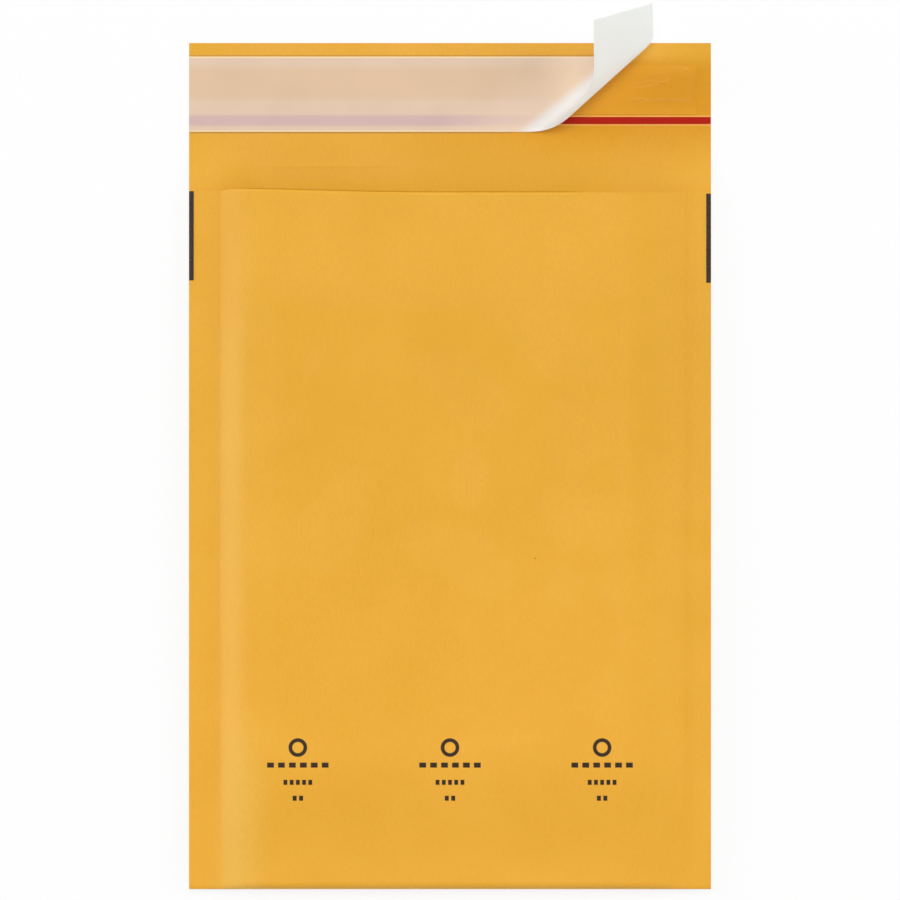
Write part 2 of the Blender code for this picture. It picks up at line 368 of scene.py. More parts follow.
    def liner_shadow_lines(self, shade: Shading, flap: "FlapLayout") -> list[Source]:
        """Return where the painted shadow lines are: thin dark lines along the liner's two edges.

        Args:
            shade: The paper's nodes.
            flap: Where the flap and its strips lie.

        Returns:
            What gives 1 in each line, as far as the liner is stuck down.
        """
        x, y, _ = shade.axes
        width, lines = self.liner_shadow_width, []
        for low, end_x in ((flap.liner.low_y - width, flap.peel_x),
                           (flap.liner.high_y, flap.peel_x + flap.peel_lead)):
            stuck = shade.add("MapRange", {"Value": x, "From Min": end_x,
                                           "From Max": end_x - self.liner_shadow_fade})
            lines.append(shade.product(shade.band(y, low, low + width, width / 2), stuck))
        return lines

    def lip_shadow(self, shade: Shading, form: "PaddedForm") -> Source:
        """Return where the painted shadow is: a fine dark line along the flap's fold, right behind the lip of
        the mouth.

        Args:
            shade: The paper's nodes.
            form: The envelope's shape.

        Returns:
            What gives 1 in the line and 0 elsewhere.
        """
        x, y, z = shade.axes
        lip = shade.add("MapRange", {"Value": x, "From Min": form.lip_start_x,
                                     "From Max": form.lip_start_x + form.lip_bow_run,
                                     "To Min": form.mouth_y + form.lip_rise,
                                     "To Max": form.mouth_y - form.lip_bow}, **SOFTLY)
        behind = shade.add("Math", {0: y, 1: lip}, operation="SUBTRACT")
        on_flap = shade.add("Math", {0: z, 1: self.front_from_z}, operation="LESS_THAN")
        return shade.product(shade.band(behind, 0.0, self.fold_line, self.fold_line / 2),
                             shade.band(x, *self.lip_shadow_ends, self.lip_shadow_fade), on_flap)

    def material(self, flap: "FlapLayout") -> bpy.types.Material:
        """Make the paper's material.

        Args:
            flap: Where the flap and its strips lie.

        Returns:
            The material.
        """
        shade = Shading(bpy.data.materials.new(self.name))
        cloud = shade.add("TexNoise", {"Vector": shade.place, "Scale": 1 / self.cloud_size, "Detail": 4.0})
        cloud = shade.add("MapRange", {"Value": cloud, "From Min": 0.32, "From Max": 0.68})
        colour = shade.layered(self.cloud_dark, (cloud, self.cloud_light))
        # partly painted light: the paper gets brighter towards the bottom fold
        bottom_light = shade.add("MapRange", {"Value": shade.axes[1], "From Min": self.bottom_light_from,
                                        "From Max": self.bottom_light_to}, **SOFTLY)
        for share, tint in ((bottom_light, self.bottom_tone_and_light_tint), (self.inner_face(shade, flap), self.inner_tint)):
            tinted = shade.add("VectorMath", {0: colour, 1: tint}, operation="MULTIPLY")
            colour = shade.layered(colour, (share, tinted))
        colour = shade.layered(
            colour,
            # painted highlight down the left shoulder
            *[(painted_highlight.share(shade), self.painted_highlight_colour) for painted_highlight in self.painted_highlights],
            (self.stained(shade, flap), self.stain_colour),
            (self.tape_lines(shade, flap), self.tape_line_colour),
            # painted shadow lines along the liner's edges
            *[(line, self.liner_shadow_colour) for line in self.liner_shadow_lines(shade, flap)],
            # painted shadow behind the mouth's lip
            (self.lip_shadow(shade, flap.form), self.lip_shadow_colour),
        )

        grain_size = (1 / self.fibre_width, 1 / self.fibre_length, 1 / self.fibre_width)
        along_roll = shade.add("VectorMath", {0: shade.place, 1: grain_size}, operation="MULTIPLY")
        fibre = shade.add("TexNoise", {"Vector": along_roll, "Scale": 1.0, "Detail": 3.0})
        tone = shade.add("MapRange", {"Value": fibre, "From Min": NOISE_LOW, "From Max": NOISE_HIGH,
                                      "To Min": 1 - self.fibre_contrast, "To Max": 1 + self.fibre_contrast})
        colour = shade.add("VectorMath", {0: colour, "Scale": tone}, operation="SCALE")

        cells = shade.add("TexVoronoi", {"Vector": shade.place, "Scale": 1 / self.speck_spacing})
        rim = self.speck_radius / self.speck_spacing
        speck = shade.add("MapRange", {"Value": cells.outputs["Distance"], "From Min": rim,
                                       "From Max": rim / 2, "To Max": self.speck_strength})
        colour = shade.layered(colour, (speck, self.speck_colour), (self.printed(shade), self.ink_colour))

        rough = shade.add("MapRange", {"Value": fibre, "To Min": self.roughness - self.roughness_spread,
                                       "To Max": self.roughness + self.roughness_spread})
        relief = shade.add("Bump", {"Height": fibre, "Distance": self.fibre_depth * MM})
        return shade.close(shade.add("BsdfPrincipled", {"Base Color": colour, "Roughness": rough,
                                                        "Normal": relief, "IOR": self.ior}))


@dataclass(frozen=True)
class BubbleFilm:
    """Clear blown polyethylene film, which shows what lies behind it under a milky gloss."""

    name: str = "clear_bubble_film"
    colour: str = "EEF0EE"
    ior: float = 1.51
    roughness: float = 0.18
    haze: float = 0.62
    rim_haze: float = 0.95
    crumple_size: float = 3.0
    crumple_depth: float = 0.12

    def material(self) -> bpy.types.Material:
        """Make the film's material."""
        shade = Shading(bpy.data.materials.new(self.name))
        creases = shade.add("TexNoise", {"Vector": shade.place, "Scale": 1 / self.crumple_size,
                                         "Detail": 2.0})
        relief = shade.add("Bump", {"Height": creases, "Distance": self.crumple_depth * MM})
        film = shade.add("BsdfPrincipled", {"Base Color": self.colour, "IOR": self.ior,
                                            "Roughness": self.roughness, "Normal": relief})
        rim = shade.add("LayerWeight", {"Blend": 0.35, "Normal": relief}).outputs["Fresnel"]
        share = shade.add("MapRange", {"Value": rim, "To Min": self.haze, "To Max": self.rim_haze})
        return shade.close(shade.add("MixShader", {0: share, 1: shade.add("BsdfTransparent"), 2: film}))


@dataclass(frozen=True)
class HotMeltGlue:
    """Clear pressure-sensitive hot-melt glue, which darkens the paper below it and shines faintly."""

    name: str = "hot_melt_glue"
    colour: str = "E69C10"
    # paler at the band's soft edges, where the glue is thin, and towards the peel, where it is partly painted
    # light against the liner's shadow
    thin_glue_and_painted_light_colour: str = "EFA622"
    ior: float = 1.5
    roughness: float = 0.45
    patch_size: float = 9.0
    patch_least: float = 0.72
    fade: float = 4.5
    # left of this the glue is paler: partly its own tone, partly painted light that offsets the peeled liner's
    # shadow
    painted_light_end_x: float = 43.0
    full_colour_x: float = 62.0

    def material(self, strip: "Strip") -> bpy.types.Material:
        """Make the glue's material.

        Args:
            strip: Where the band of glue lies on the flap.

        Returns:
            The material.
        """
        shade = Shading(bpy.data.materials.new(self.name))
        x, y, _ = shade.axes
        inner = shade.band(y, strip.low_y + self.fade / 3, strip.high_y - self.fade / 2, self.fade)
        # partly painted light: the glue is paler towards the peel, offsetting the peeled liner's shadow
        past_painted_light = shade.add("MapRange", {"Value": x, "From Min": self.painted_light_end_x, "From Max": self.full_colour_x},
                           **SOFTLY)
        patches = shade.add("TexNoise", {"Vector": shade.place, "Scale": 1 / self.patch_size, "Detail": 3.0})
        uneven = shade.add("MapRange", {"Value": patches, "From Min": NOISE_LOW, "From Max": NOISE_HIGH,
                                        "To Min": self.patch_least})
        colour = shade.layered(self.thin_glue_and_painted_light_colour, (shade.product(inner, past_painted_light, uneven), self.colour))
        return shade.close(shade.add("BsdfPrincipled", {"Base Color": colour, "Roughness": self.roughness,
                                                        "IOR": self.ior}))


@dataclass(frozen=True)
class ReleasePaper:
    """Thin glassine release paper with a silicone coat.

    Lying on the flap it lets the colours below show as soft bands, and lifted off it turns milky white.
    """

    name: str = "silicone_release_paper"
    over_paper: str = "E8CBB2"
    over_glue: str = "E6C5A4"
    wet_below: float = 4.5
    wet_above: float = -0.6
    glue_soft: float = 2.2
    over_tape: str = "DAB9B3"
    tape_spread: float = 0.5
    tape_soft: float = 1.3
    cloud_size: float = 14.0
    cloud_tint: float = 0.024
    # painted highlight: a thin bright line along the liner's edges
    edge_highlight: str = "FFE4B2"
    edge_highlight_width: float = 0.42
    # paler just before the peel: partly the loosened liner's own paleness, partly painted light that offsets
    # the shade of the roll
    airy_painted_light: str = "FBDFC4"
    airy_light_share: float = 0.6
    airy_light_reach: float = 20.0
    lifted: str = "F8FAF9"
    just_lifted: str = "F3EEE9"
    lift_start: float = 0.8
    lift_end: float = 1.6
    loose_before: float = 2.2
    loose_after: float = 1.4
    through_light: float = 0.68
    through_start: float = 1.5
    through_full: float = 7.0
    ior: float = 1.45
    roughness: float = 0.42

    def stuck_colour(self, shade: Shading, flap: "FlapLayout") -> Source:
        """Return the colour of the liner where it lies on the flap.

        Args:
            shade: The liner's nodes.
            flap: Where the flap and its strips lie.

        Returns:
            What gives the colour.
        """
        y = shade.axes[1]
        glue = shade.band(y, flap.glue.low_y + self.wet_below, flap.glue.high_y + self.wet_above,
                          self.glue_soft)
        tape = shade.band(y, flap.tape.low_y - self.tape_spread, flap.tape.high_y + self.tape_spread,
                          self.tape_soft)
        colour = shade.layered(self.over_paper, (glue, self.over_glue), (tape, self.over_tape))
        clouds = shade.add("TexNoise", {"Vector": shade.place, "Scale": 1 / self.cloud_size, "Detail": 3.0})
        tone = shade.add("MapRange", {"Value": clouds, "From Min": NOISE_LOW, "From Max": NOISE_HIGH,
                                      "To Min": 1 - self.cloud_tint, "To Max": 1 + self.cloud_tint})
        colour = shade.add("VectorMath", {0: colour, "Scale": tone}, operation="SCALE")
        # painted highlight along the liner's edges
        low, high = flap.liner.low_y + self.edge_highlight_width, flap.liner.high_y - self.edge_highlight_width
        return shade.layered(self.edge_highlight, (shade.band(y, low, high, self.edge_highlight_width), colour))

    def material(self, flap: "FlapLayout") -> bpy.types.Material:
        """Make the liner's material.

        Args:
            flap: Where the flap and its strips lie.

        Returns:
            The material.
        """
        shade = Shading(bpy.data.materials.new(self.name))
        z = shade.axes[2]
        past = Vector((flap.liner_width, -flap.peel_lead, 0.0)).normalized()
        beyond = shade.add("VectorMath", {0: shade.place, 1: past}, operation="DOT_PRODUCT").outputs["Value"]
        peel = Vector((flap.peel_x, flap.liner.low_y, 0.0)).dot(past)
        # partly painted light: the liner gets paler just before the peel, offsetting the roll's shade
        airy_painted_light = shade.add("MapRange", {"Value": beyond, "From Min": peel - self.airy_light_reach, "From Max": peel,
                                      "To Max": self.airy_light_share}, **SOFTLY)
        loose = shade.add("MapRange", {"Value": beyond, "From Min": peel - self.loose_before,
                                       "From Max": peel + self.loose_after}, **SOFTLY)
        high = shade.add("MapRange", {"Value": z, "From Min": self.lift_start, "From Max": self.lift_end},
                         **SOFTLY)
        lift = shade.add("Math", {0: high, 1: loose}, operation="MAXIMUM")
        free = shade.add("MapRange", {"Value": z, "From Min": self.through_start,
                                      "From Max": self.through_full})
        white = shade.layered(self.just_lifted, (free, self.lifted))
        colour = shade.layered(self.stuck_colour(shade, flap), (airy_painted_light, self.airy_painted_light), (lift, white))
        paper = shade.add("BsdfPrincipled", {"Base Color": colour, "Roughness": self.roughness,
                                             "IOR": self.ior})
        glow = shade.add("BsdfTranslucent", {"Color": colour})
        share = shade.add("Math", {0: free, 1: self.through_light}, operation="MULTIPLY")
        return shade.close(shade.add("MixShader", {0: share, 1: paper, 2: glow}))


@dataclass(frozen=True)
class TearTape:
    """Extruded red polypropylene tape with a satin gloss, faintly streaked along its length."""

    name: str = "red_tear_tape"
    colour: str = "B41B05"
    light_colour: str = "BA1F0A"
    ior: float = 1.49
    gloss: float = 0.2
    roughness: float = 0.3
    streak_length: float = 12.0
    streak_width: float = 0.8

    def material(self) -> bpy.types.Material:
        """Make the tape's material."""
        shade = Shading(bpy.data.materials.new(self.name))
        size = (1 / self.streak_length, 1 / self.streak_width, 1 / self.streak_width)
        drawn = shade.add("VectorMath", {0: shade.place, 1: size}, operation="MULTIPLY")
        streak = shade.add("TexNoise", {"Vector": drawn, "Scale": 1.0, "Detail": 2.0})
        colour = shade.layered(self.colour, (streak, self.light_colour))
        return shade.close(shade.add("BsdfPrincipled", {"Base Color": colour, "Roughness": self.roughness,
                                                        "IOR": self.ior, "Specular IOR Level": self.gloss}))


@dataclass(frozen=True)
class PrintingInk:
    """Dark brown flexographic ink, matte and slightly uneven where it soaked into the paper."""

    name: str = "dark_flexo_ink"
    colour: str = "37281F"
    worn_colour: str = "4E3E33"
    ior: float = 1.5
    roughness: float = 0.6
    grain: float = 0.7

    def material(self) -> bpy.types.Material:
        """Make the ink's material."""
        shade = Shading(bpy.data.materials.new(self.name))
        speckle = shade.add("TexNoise", {"Vector": shade.place, "Scale": 1 / self.grain, "Detail": 3.0})
        worn = shade.add("MapRange", {"Value": speckle, "From Min": 0.45, "From Max": 0.75})
        colour = shade.layered(self.colour, (worn, self.worn_colour))
        return shade.close(shade.add("BsdfPrincipled", {"Base Color": colour, "Roughness": self.roughness,
                                                        "IOR": self.ior}))


@dataclass(frozen=True)
class Strip:
    """A strip's place on the flap, in millimetres."""

    low_x: float
    high_x: float
    low_y: float
    high_y: float

    @classmethod
    def of_node(cls, node: str) -> "Strip":
        """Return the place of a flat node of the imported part."""
        low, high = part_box(node)
        return cls(low.x / MM, high.x / MM, low.y / MM, high.y / MM)


@dataclass(frozen=True)
class FlapLayout:
    """The strips on the inner face of the flap, in millimetres."""

    liner: Strip
    glue: Strip
    tape: Strip
    form: "PaddedForm"
    liner_width: float = 22.3
    liner_to_flap_edge: float = 4.0
    liner_to_side_edge: float = 2.15
    peeled_length: float = 53.3
    peel_lead: float = 27.7

    @property
    def peel_x(self) -> float:
        """Where the peel begins on the liner's lower edge."""
        return self.liner.high_x - self.peeled_length

    @classmethod
    def from_frame(cls, form: "PaddedForm") -> "FlapLayout":
        """Read the strips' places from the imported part.

        Args:
            form: The envelope's shape.

        Returns:
            The layout.
        """
        upper = form.flap_edge_y - cls.liner_to_flap_edge
        end_x = form.half_width - cls.liner_to_side_edge
        liner = Strip(-form.half_width, end_x, upper - cls.liner_width, upper)
        return cls(liner, Strip.of_node("adhesive_strip"), Strip.of_node("tear_tape"), form)


@dataclass(frozen=True)
class PaddedForm:
    """The padded shape that the paper, the lining and the marks share, in millimetres.

    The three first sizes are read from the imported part, and the others are the part's own.
    """

    half_width: float
    mouth_y: float
    flap_edge_y: float
    paper: float = 0.25
    clearance: float = 0.2
    lining: float = 2.6
    lining_in_fold: float = 2.4
    lining_setback: float = 1.5
    seal: float = 0.5
    pocket_gap: float = 5.0
    pocket_gap_at_fold: float = 0.8
    pocket_gap_at_sides: float = 0.3
    pocket_side_margin: float = 1.5
    seam_left: float = 9.2
    seam_right: float = 7.4
    shoulder_left: float = 15.0
    shoulder_right: float = 18.0
    fold_depth: float = 2.8
    fold_power: float = 0.72
    bottom_taper: float = 40.0
    seam_lift: float = 3.7
    seam_lift_at_ends: float = 1.9
    settled_margin: float = 27.6
    mouth_press: float = 2.1
    mouth_press_reach: float = 32.0
    lip_bow_reach: float = 20.0
    lip_rise: float = 0.45
    lip_bow: float = 0.6
    lip_bow_run: float = 62.0

    @classmethod
    def from_frame(cls) -> "PaddedForm":
        """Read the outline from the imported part."""
        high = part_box("outer_wrap")[1]
        lining_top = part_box("bubble_lining")[1].y
        return cls(high.x / MM, lining_top / MM + cls.lining_setback, high.y / MM)

    @property
    def lip_start_x(self) -> float:
        """Where the front lip leaves the left side seam."""
        return -self.half_width + self.seam_left

    @property
    def skin(self) -> float:
        """How deep the lining lies below the outside of the paper."""
        return self.paper + self.clearance

    @property
    def full(self) -> float:
        """The full thickness, paper to paper."""
        return 2 * (self.skin + self.lining) + self.pocket_gap

    @property
    def fold_y(self) -> float:
        """The height of the bottom fold's centre line."""
        return -self.mouth_y + self.fold_depth

    def swell(self, x: float, margin: float = 0.0) -> float:
        """Return how far the padding has swelled at x: 0 in the seams and 1 between the shoulders."""
        left = (x + self.half_width - self.seam_left - margin) / (self.shoulder_left - margin)
        right = (self.half_width - x - self.seam_right - margin) / (self.shoulder_right - margin)
        return 1 - (1 - clamp(min(left, right))) ** 2

    def press(self, x: float, y: float, side: float) -> float:
        """Return how far the front sinks at a place towards the mouth, where the bubbles are cut and flat."""
        if side < 1:
            return 0.0
        return self.mouth_press * self.swell(x) * ease(1 - (self.mouth_y - y) / self.mouth_press_reach)

    def length_share(self, y: float) -> float:
        """Return 0 at the bottom fold and 1 where the padding has its full thickness."""
        return ease((y - self.fold_y) / self.bottom_taper)

    def thickness(self, x: float, y: float) -> float:
        """Return the thickness, paper to paper."""
        in_fold = 2 * (self.skin + self.lining_in_fold) + self.pocket_gap_at_fold
        in_seam = 2 * self.skin + self.seal
        middle = in_fold + (self.full - in_fold) * self.length_share(y)
        return in_seam + (middle - in_seam) * self.swell(x)

    def lift(self, y: float) -> float:
        """Return how high the underside of a side seam hangs over the table."""
        if y > self.mouth_y:
            settled = (y - self.mouth_y) / (self.settled_y - self.mouth_y)
            return self.seam_lift_at_ends * (1 - ease(settled))
        from_middle = clamp(abs(y) / self.mouth_y)
        return self.seam_lift - (self.seam_lift - self.seam_lift_at_ends) * from_middle ** 2

    @property
    def settled_y(self) -> float:
        """Where the flap has come down flat on the table."""
        return self.flap_edge_y - self.settled_margin

    def underside(self, x: float, y: float) -> float:
        """Return the height of the back panel's or the flap's underside."""
        return self.lift(y) * (1 - self.swell(x))

    def point(self, x: float, y: float, side: float, inset: float = 0.0) -> Vector:
        """Return a point on the outside of the envelope, or inset from it.

        Args:
            x: The place across the envelope.
            y: The place along it.
            side: -1 on the back, 1 on the front, and in between round the bottom fold.
            inset: How deep the point lies below the outside.

        Returns:
            The point, in millimetres.
        """
        level = max(y, self.fold_y)
        half = self.thickness(x, level) / 2
        height = self.underside(x, level) + half + side * (half - inset)
        return Vector((x, y, height - self.press(x, y, side)))

    def pocket_point(self, x: float, y: float, side: float) -> Vector:
        """Return a point on the wall of the pocket inside the lining.

        Args:
            x: The place across the envelope.
            y: The place along it.
            side: -1 on the back, 1 on the front, and in between round the bottom fold.

        Returns:
            The point, in millimetres.
        """
        level = max(y, self.fold_y)
        at_fold, at_sides = self.pocket_gap_at_fold, self.pocket_gap_at_sides
        middle = at_fold + (self.pocket_gap - at_fold) * self.length_share(level)
        gap = at_sides + (middle - at_sides) * self.swell(x, self.pocket_side_margin)
        return Vector((x, y, self.underside(x, level) + self.thickness(x, level) / 2 + side * gap / 2))

    def columns(self, seam: int, shoulder: int, plateau: int) -> list[float]:
        """Return the x of the columns of points across the envelope.

        Args:
            seam: How many steps cross a side seam.
            shoulder: How many steps cross a shoulder.
            plateau: How many steps cross the flat middle.

        Returns:
            The places, from left to right.
        """
        seam_left = -self.half_width + self.seam_left
        seam_right = self.half_width - self.seam_right
        left_top, right_top = seam_left + self.shoulder_left, seam_right - self.shoulder_right
        places = steps(-self.half_width, seam_left, seam)
        places += steps(seam_left, left_top, shoulder)[1:]
        places += steps(left_top, right_top, plateau)[1:]
        places += steps(right_top, seam_right, shoulder)[1:]
        return places + steps(seam_right, self.half_width, seam)[1:]

    def stations(self, down: Sequence[float], end: float, depth: float, turns: int) -> list[Station]:
        """Return places down the back panel, round the bottom fold and up the front panel.

        Args:
            down: The y of the places on a panel, from the top to the fold's centre.
            end: The y of the fold's centre.
            depth: How far the fold reaches below its centre.
            turns: How many steps the fold has.

        Returns:
            The (y, side) of each place.
        """
        angles = [math.pi * index / turns for index in range(1, turns)]
        back = [(y, Panel.BACK.value) for y in down]
        deep = [depth * math.sin(angle) ** self.fold_power for angle in angles]
        sides = [-math.copysign(abs(math.cos(angle)) ** self.fold_power, math.cos(angle)) for angle in angles]
        fold = [(end - reach, side) for reach, side in zip(deep, sides)]
        front = [(y, Panel.FRONT.value) for y in reversed(down)]
        return back + fold + front


def add_piece(name: str, mesh: bmesh.types.BMesh, material: bpy.types.Material,
              crease: float = 35.0) -> bpy.types.Object:
    """Make a piece of a bmesh in millimetres, smooth but for its creases and rims, and free the bmesh.

    Args:
        name: The piece's name.
        mesh: Its shape.
        material: Its material.
        crease: The angle in degrees from which an edge stays sharp.

    Returns:
        The new object.
    """
    bmesh.ops.scale(mesh, vec=(MM, MM, MM), verts=mesh.verts)
    for face in mesh.faces:
        face.smooth = True
    for edge in mesh.edges:
        edge.smooth = not edge.is_boundary and edge.calc_face_angle(0.0) < math.radians(crease)
    data = bpy.data.meshes.new(name)
    mesh.to_mesh(data)
    mesh.free()
    data.materials.append(material)
    piece = bpy.data.objects.new(name, data)
    bpy.context.scene.collection.objects.link(piece)
    return piece


def surface(rows: Rows) -> bmesh.types.BMesh:
    """Return an open surface through rows of points that have the same length."""
    mesh = bmesh.new()
    grid = [[mesh.verts.new(point) for point in row] for row in rows]
    for row, following in zip(grid, grid[1:]):
        for index in range(len(row) - 1):
            mesh.faces.new((row[index], row[index + 1], following[index + 1], following[index]))
    return mesh


def thicken(piece: bpy.types.Object, thickness: float) -> None:
    """Give an open surface its thickness, on the side away from its normals.

    Args:
        piece: The surface's object.
        thickness: The sheet's thickness in millimetres.
    """
    shell = piece.modifiers.new("thickness", "SOLIDIFY")
    shell.thickness = thickness * MM
    shell.offset = -1.0
    shell.use_even_offset = True
    shell.use_quality_normals = True


def settle(piece: bpy.types.Object, slot: str, *nodes: str) -> None:
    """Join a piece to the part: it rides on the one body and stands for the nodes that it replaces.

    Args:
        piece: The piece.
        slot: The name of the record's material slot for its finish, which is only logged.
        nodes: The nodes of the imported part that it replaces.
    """
    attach(piece, "root")
    if nodes:
        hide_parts(*nodes)
    LOG.info("%s: %d points, %s", piece.name, len(piece.data.vertices), slot)


@dataclass
class OuterWrap:
    """The one sheet of paper: flap, back panel, bottom fold and front panel."""

    form: PaddedForm
    layout: FlapLayout
    finish: WrappingPaper
    seam_steps: int = 3
    shoulder_steps: int = 18
    plateau_steps: int = 42
    row_spacing: float = 3.0
    fold_turns: int = 17
    wave_height: float = 0.1
    wave_length: float = 42.0
    lip_roll: float = 0.45
    lip_roll_reach: float = 0.9
    lip_flat_from: float = 28.0
    lip_flat_run: float = 18.0
    crease_y: float = 110.7
    crease_width: float = 0.5
    crease_height: float = 0.09
    crease_middle: float = -36.0
    crease_reach: float = 36.0

    def wave(self, x: float, y: float, side: float) -> float:
        """Return how far the front panel swells or sinks at a place, as handled paper does."""
        if side < 1:
            return 0.0
        level = noise.noise(Vector((x, y, 0.0)) / self.wave_length)
        return self.wave_height * level * self.form.swell(x)

    def lip_shift(self, x: float, y: float, side: float) -> float:
        """Return how far the front lip draws back: it stands up at the left and sinks back to the right."""
        if side < 1:
            return 0.0
        form = self.form
        reach = ease(1 - (form.mouth_y - y) / form.lip_bow_reach)
        from_left = ease((x - form.lip_start_x) / form.lip_bow_run)
        return (form.lip_bow * from_left - form.lip_rise * (1 - from_left)) * ease(2 * form.swell(x)) * reach

    def lip_sink(self, x: float, y: float, side: float) -> float:
        """Return how far the cut edge of the front lip rolls down at a place."""
        if side < 1:
            return 0.0
        near = clamp(1 - (self.form.mouth_y - y) / self.lip_roll_reach)
        rolled = 1 - ease((x - self.lip_flat_from) / self.lip_flat_run)
        return self.lip_roll * rolled * self.form.swell(x) * near ** 2

    def crease(self, x: float, y: float, side: float) -> float:
        """Return how high the flap's score line stands up at a place."""
        if side > Panel.BACK.value or y < self.form.mouth_y:
            return 0.0
        along = ease(1 - abs(x - self.crease_middle) / self.crease_reach)
        return self.crease_height * along * math.exp(-((y - self.crease_y) / self.crease_width) ** 2)

    def rows(self) -> Rows:
        """Return the rows of points from the flap's free edge to the front lip."""
        form = self.form
        flap_rows = round((form.flap_edge_y - form.mouth_y) / self.row_spacing)
        panel_rows = round((form.mouth_y - form.fold_y) / self.row_spacing)
        places = steps(form.flap_edge_y, form.mouth_y, flap_rows)[:-1]
        places += [self.crease_y + self.crease_width * share for share in (-2, -1, -0.5, 0, 0.5, 1, 2)]
        flap = [(y, Panel.BACK.value) for y in sorted(places, reverse=True)]
        down = steps(form.mouth_y, form.fold_y, panel_rows)
        down[1:1] = steps(form.mouth_y, form.mouth_y - self.lip_roll_reach, 4)[1:]
        path = flap + form.stations(down, form.fold_y, form.fold_depth, self.fold_turns)
        rows = []
        for y, side in path:
            row = [form.point(x, y, side) for x in form.columns(self.seam_steps, self.shoulder_steps,
                                                                self.plateau_steps)]
            for point in row:
                point.z += self.wave(point.x, y, side) + self.crease(point.x, y, side)
                point.z -= self.lip_sink(point.x, y, side)
                point.y -= self.lip_shift(point.x, y, side)
            rows.append(row)
        return rows

    def build(self) -> None:
        """Make the wrap and dress it."""
        wrap = add_piece("paper_wrap", surface(self.rows()), self.finish.material(self.layout))
        thicken(wrap, self.form.paper)
        settle(wrap, "brown_paper", "outer_wrap")


